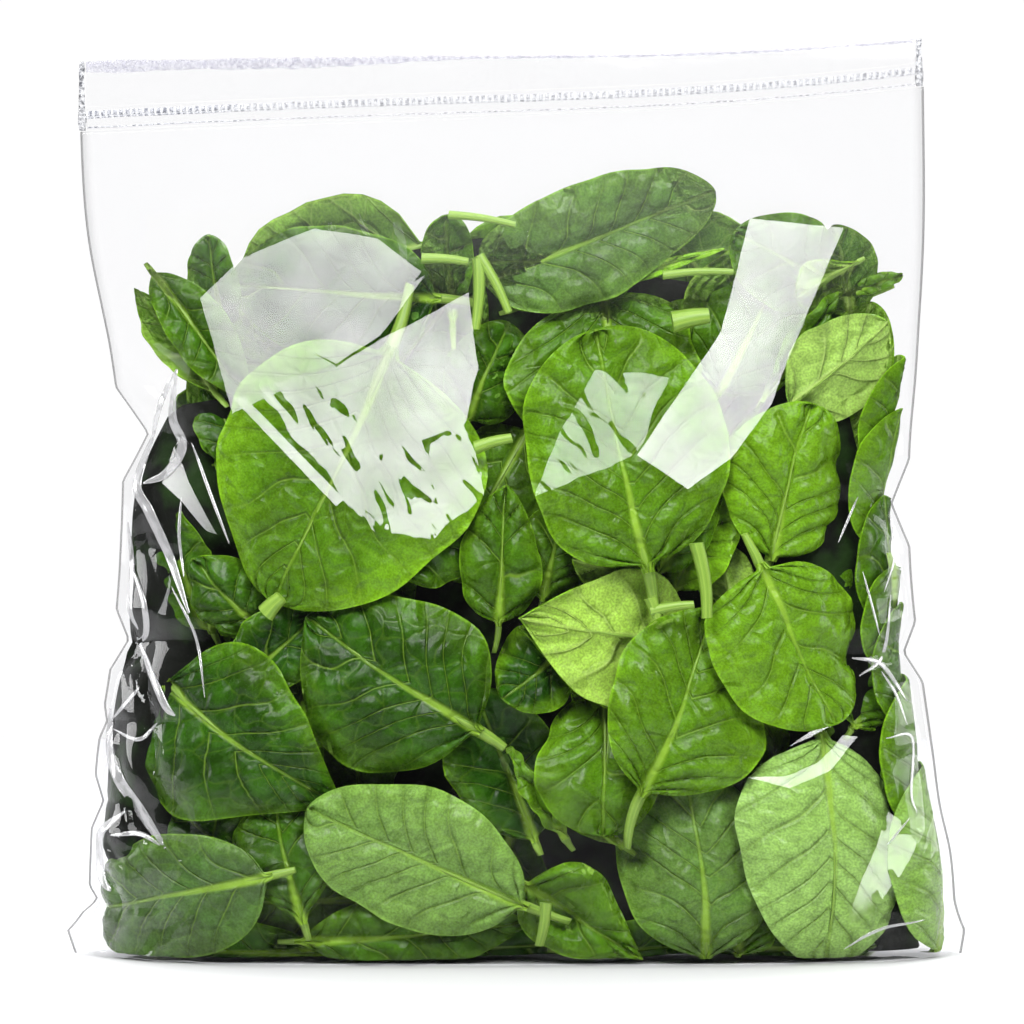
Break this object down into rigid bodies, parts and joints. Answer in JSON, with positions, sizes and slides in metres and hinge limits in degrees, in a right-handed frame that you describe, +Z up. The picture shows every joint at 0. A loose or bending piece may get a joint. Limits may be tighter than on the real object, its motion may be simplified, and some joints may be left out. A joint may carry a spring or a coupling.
{
  "type": "bag of spinach",
  "caption": "Clear zipper bag packed with loose baby spinach leaves, shut, standing on its own filled base with an empty headroom and grip lips above the zipper.",
  "frame": {"origin": "middle of the flat base that the packed bag stands on, at the height of the surface under it", "axes": "+Z up from the base to the zipper and lips, +X along the zipper to the right seen from the front, -Y out of the front film towards the viewer"},
  "size_m": [0.2728, 0.0818, 0.2748],
  "materials": {
    "clear_film": "crisp clear glossy plastic film, creased at the sides",
    "zip_plastic": "clear moulded polyethylene strip, glossy",
    "spinach_leaf": "fresh green leaf blade, satin top with sunken veins and a paler underside",
    "spinach_stem": "pale yellow-green leaf stalk, satin"
  },
  "bodies": {
    "root": {"bag_body": "clear_film", "zip_channel_strip": "zip_plastic", "zip_rib_strip": "zip_plastic", "zip_end_left": "zip_plastic", "zip_end_right": "zip_plastic", "lip_front": "clear_film", "lip_back": "clear_film"}
  },
  "joints": []
}
